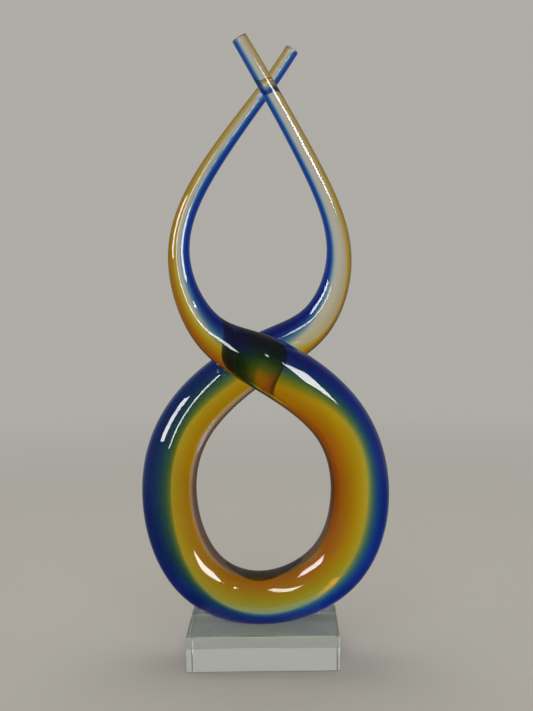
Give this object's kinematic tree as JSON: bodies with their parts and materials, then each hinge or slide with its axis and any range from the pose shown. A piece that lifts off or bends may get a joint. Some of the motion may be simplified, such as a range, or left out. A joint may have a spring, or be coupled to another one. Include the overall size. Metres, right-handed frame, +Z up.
{
  "type": "glass knot sculpture",
  "caption": "Interlaced knot of tapering blue and amber glass rod on a clear rectangular block, with a thick ring below and a taller pointed loop with crossed tips above.",
  "frame": {"origin": "centre of the underside of the block, on the surface it stands on", "axes": "+Z up, -Y towards the front, where the waist shows the arm that comes down from the left, +X to the right seen from the front"},
  "size_m": [0.1329, 0.0552, 0.3292],
  "materials": {
    "block_glass": "polished",
    "clear_adhesive": "clear, cured",
    "clear_glass": "fire polished",
    "cobalt_glass": "clear, deep blue",
    "amber_glass": "clear, warm amber"
  },
  "bodies": {
    "root": {"base_block": "block_glass", "adhesive_film": "clear_adhesive", "clear_glass_casing": "clear_glass", "cobalt_strand": "cobalt_glass", "amber_strand": "amber_glass"}
  },
  "joints": []
}
